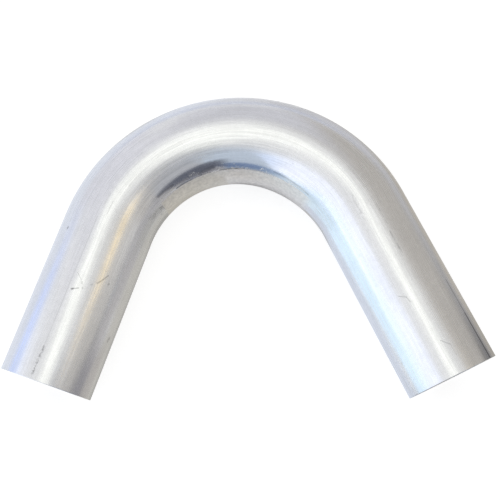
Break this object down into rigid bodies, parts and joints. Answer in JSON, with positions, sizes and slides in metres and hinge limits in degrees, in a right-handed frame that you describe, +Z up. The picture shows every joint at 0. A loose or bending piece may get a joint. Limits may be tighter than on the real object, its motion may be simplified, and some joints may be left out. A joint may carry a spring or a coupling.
{
  "type": "mandrel bend",
  "caption": "Round aluminium tube bent to an open elbow of constant bore, with a straight leg on each side and square-cut open ends.",
  "frame": {"origin": "on the ground, under the middle of the part's outline, with the tube lying on its side", "axes": "+Z up and square to the plane of the bend; +Y towards the crown of the bend; +X towards the longer leg's side"},
  "size_m": [0.3986, 0.267, 0.0762],
  "materials": {
    "aluminium": "satin, as drawn, with fine lengthwise draw lines"
  },
  "bodies": {
    "root": {"bent_tube": "aluminium"}
  },
  "joints": []
}
